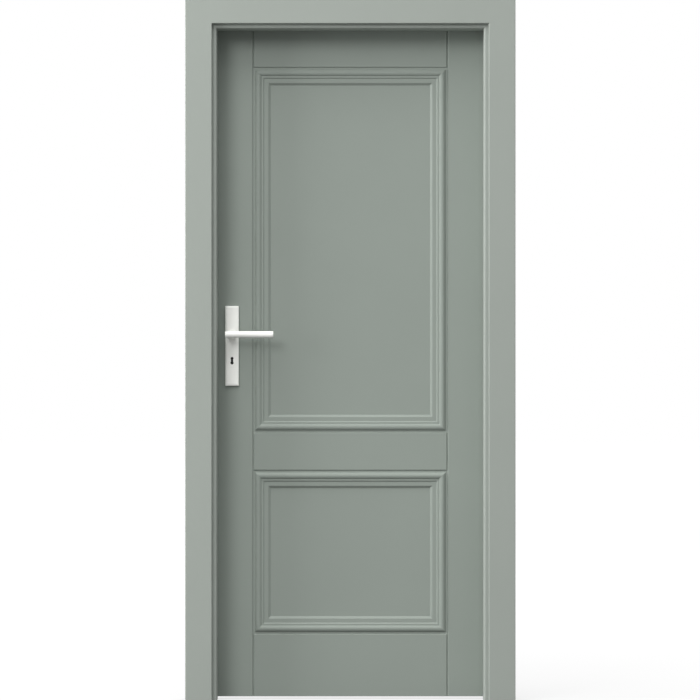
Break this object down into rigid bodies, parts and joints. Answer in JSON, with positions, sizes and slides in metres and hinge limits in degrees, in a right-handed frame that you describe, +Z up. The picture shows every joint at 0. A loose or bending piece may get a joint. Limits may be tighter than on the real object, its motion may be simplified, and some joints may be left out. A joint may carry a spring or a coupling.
{
  "type": "interior door with frame",
  "caption": "Painted two-panel interior door in sage grey with a rebated leaf, mitred casings, mortise lock and white lever handles on long plates.",
  "frame": {"origin": "on the floor, in the middle of the passage's width and of the wall's thickness", "axes": "X along the wall with the hinges at +X, Y through the wall away from the push side, Z up"},
  "size_m": [0.988, 0.201, 2.11],
  "materials": {
    "sage_paint": "satin",
    "leaf_paint": "satin",
    "white_aluminium": "satin",
    "satin_steel": "satin",
    "dark_steel": "matte",
    "gasket_rubber": "matte",
    "washer_plastic": "matte",
    "bare_beech": "matte"
  },
  "bodies": {
    "frame": {"jamb_lock_side": "sage_paint", "jamb_hinge_side": "sage_paint", "jamb_head": "sage_paint", "front_casing_left": "sage_paint", "front_casing_right": "sage_paint", "front_casing_head": "sage_paint", "rebated_casing_left": "sage_paint", "rebated_casing_right": "sage_paint", "rebated_casing_head": "sage_paint", "frame_gasket": "gasket_rubber", "frame_corner_keys": "bare_beech", "strike_plate": "satin_steel", "strike_screws": "satin_steel", "hinge_frame_part_bottom": "satin_steel", "hinge_frame_part_middle": "satin_steel", "hinge_frame_part_top": "satin_steel", "hinge_pins": "satin_steel", "hinge_washers": "washer_plastic"},
    "leaf": {"lock_stile": "leaf_paint", "hinge_stile": "leaf_paint", "top_rail": "leaf_paint", "lock_rail": "leaf_paint", "bottom_rail": "leaf_paint", "upper_panel": "leaf_paint", "lower_panel": "leaf_paint", "front_moulding_upper_left": "leaf_paint", "front_moulding_upper_right": "leaf_paint", "front_moulding_upper_top": "leaf_paint", "front_moulding_upper_bottom": "leaf_paint", "front_moulding_lower_left": "leaf_paint", "front_moulding_lower_right": "leaf_paint", "front_moulding_lower_top": "leaf_paint", "front_moulding_lower_bottom": "leaf_paint", "back_moulding_upper_left": "leaf_paint", "back_moulding_upper_right": "leaf_paint", "back_moulding_upper_top": "leaf_paint", "back_moulding_upper_bottom": "leaf_paint", "back_moulding_lower_left": "leaf_paint", "back_moulding_lower_right": "leaf_paint", "back_moulding_lower_top": "leaf_paint", "back_moulding_lower_bottom": "leaf_paint", "rail_tenons": "bare_beech", "lock_case": "dark_steel", "lock_cover": "dark_steel", "lock_faceplate": "satin_steel", "faceplate_screws": "satin_steel", "latch_spring": "satin_steel", "front_handle_plate": "white_aluminium", "back_handle_plate": "white_aluminium", "plate_screws": "white_aluminium", "hinge_leaf_part_bottom": "satin_steel", "hinge_leaf_part_middle": "satin_steel", "hinge_leaf_part_top": "satin_steel"},
    "handle": {"front_lever": "white_aluminium", "back_lever": "white_aluminium", "spindle": "satin_steel", "lever_grub_screws": "satin_steel", "lock_follower": "satin_steel"},
    "latch_bolt": {"latch_bolt": "satin_steel"},
    "dead_bolt": {"dead_bolt": "satin_steel"}
  },
  "joints": [
    {"name": "leaf_swing", "type": "hinge", "parent": "frame", "child": "leaf", "pos_m": [0.4305, 0.0735, 1.018], "axis": [0, 0, -1], "range_deg": [0, 170]},
    {"name": "handle_turn", "type": "hinge", "parent": "leaf", "child": "handle", "pos_m": [-0.357, 0.0525, 1.1], "axis": [0, 1, 0], "range_deg": [0, 38], "stiffness_Nm_per_rad": 1.5, "springref_deg": -28.65},
    {"name": "latch_slide", "type": "slide", "parent": "leaf", "child": "latch_bolt", "axis": [1, 0, 0], "range_m": [0, 0.0105], "deforming": ["latch_spring"]},
    {"name": "dead_bolt_slide", "type": "slide", "parent": "leaf", "child": "dead_bolt", "axis": [-1, 0, 0], "range_m": [0, 0.014]}
  ],
  "couplings": [
    {"joint": "latch_slide", "follows": "handle_turn", "m_per_rad": 0.01583}
  ]
}
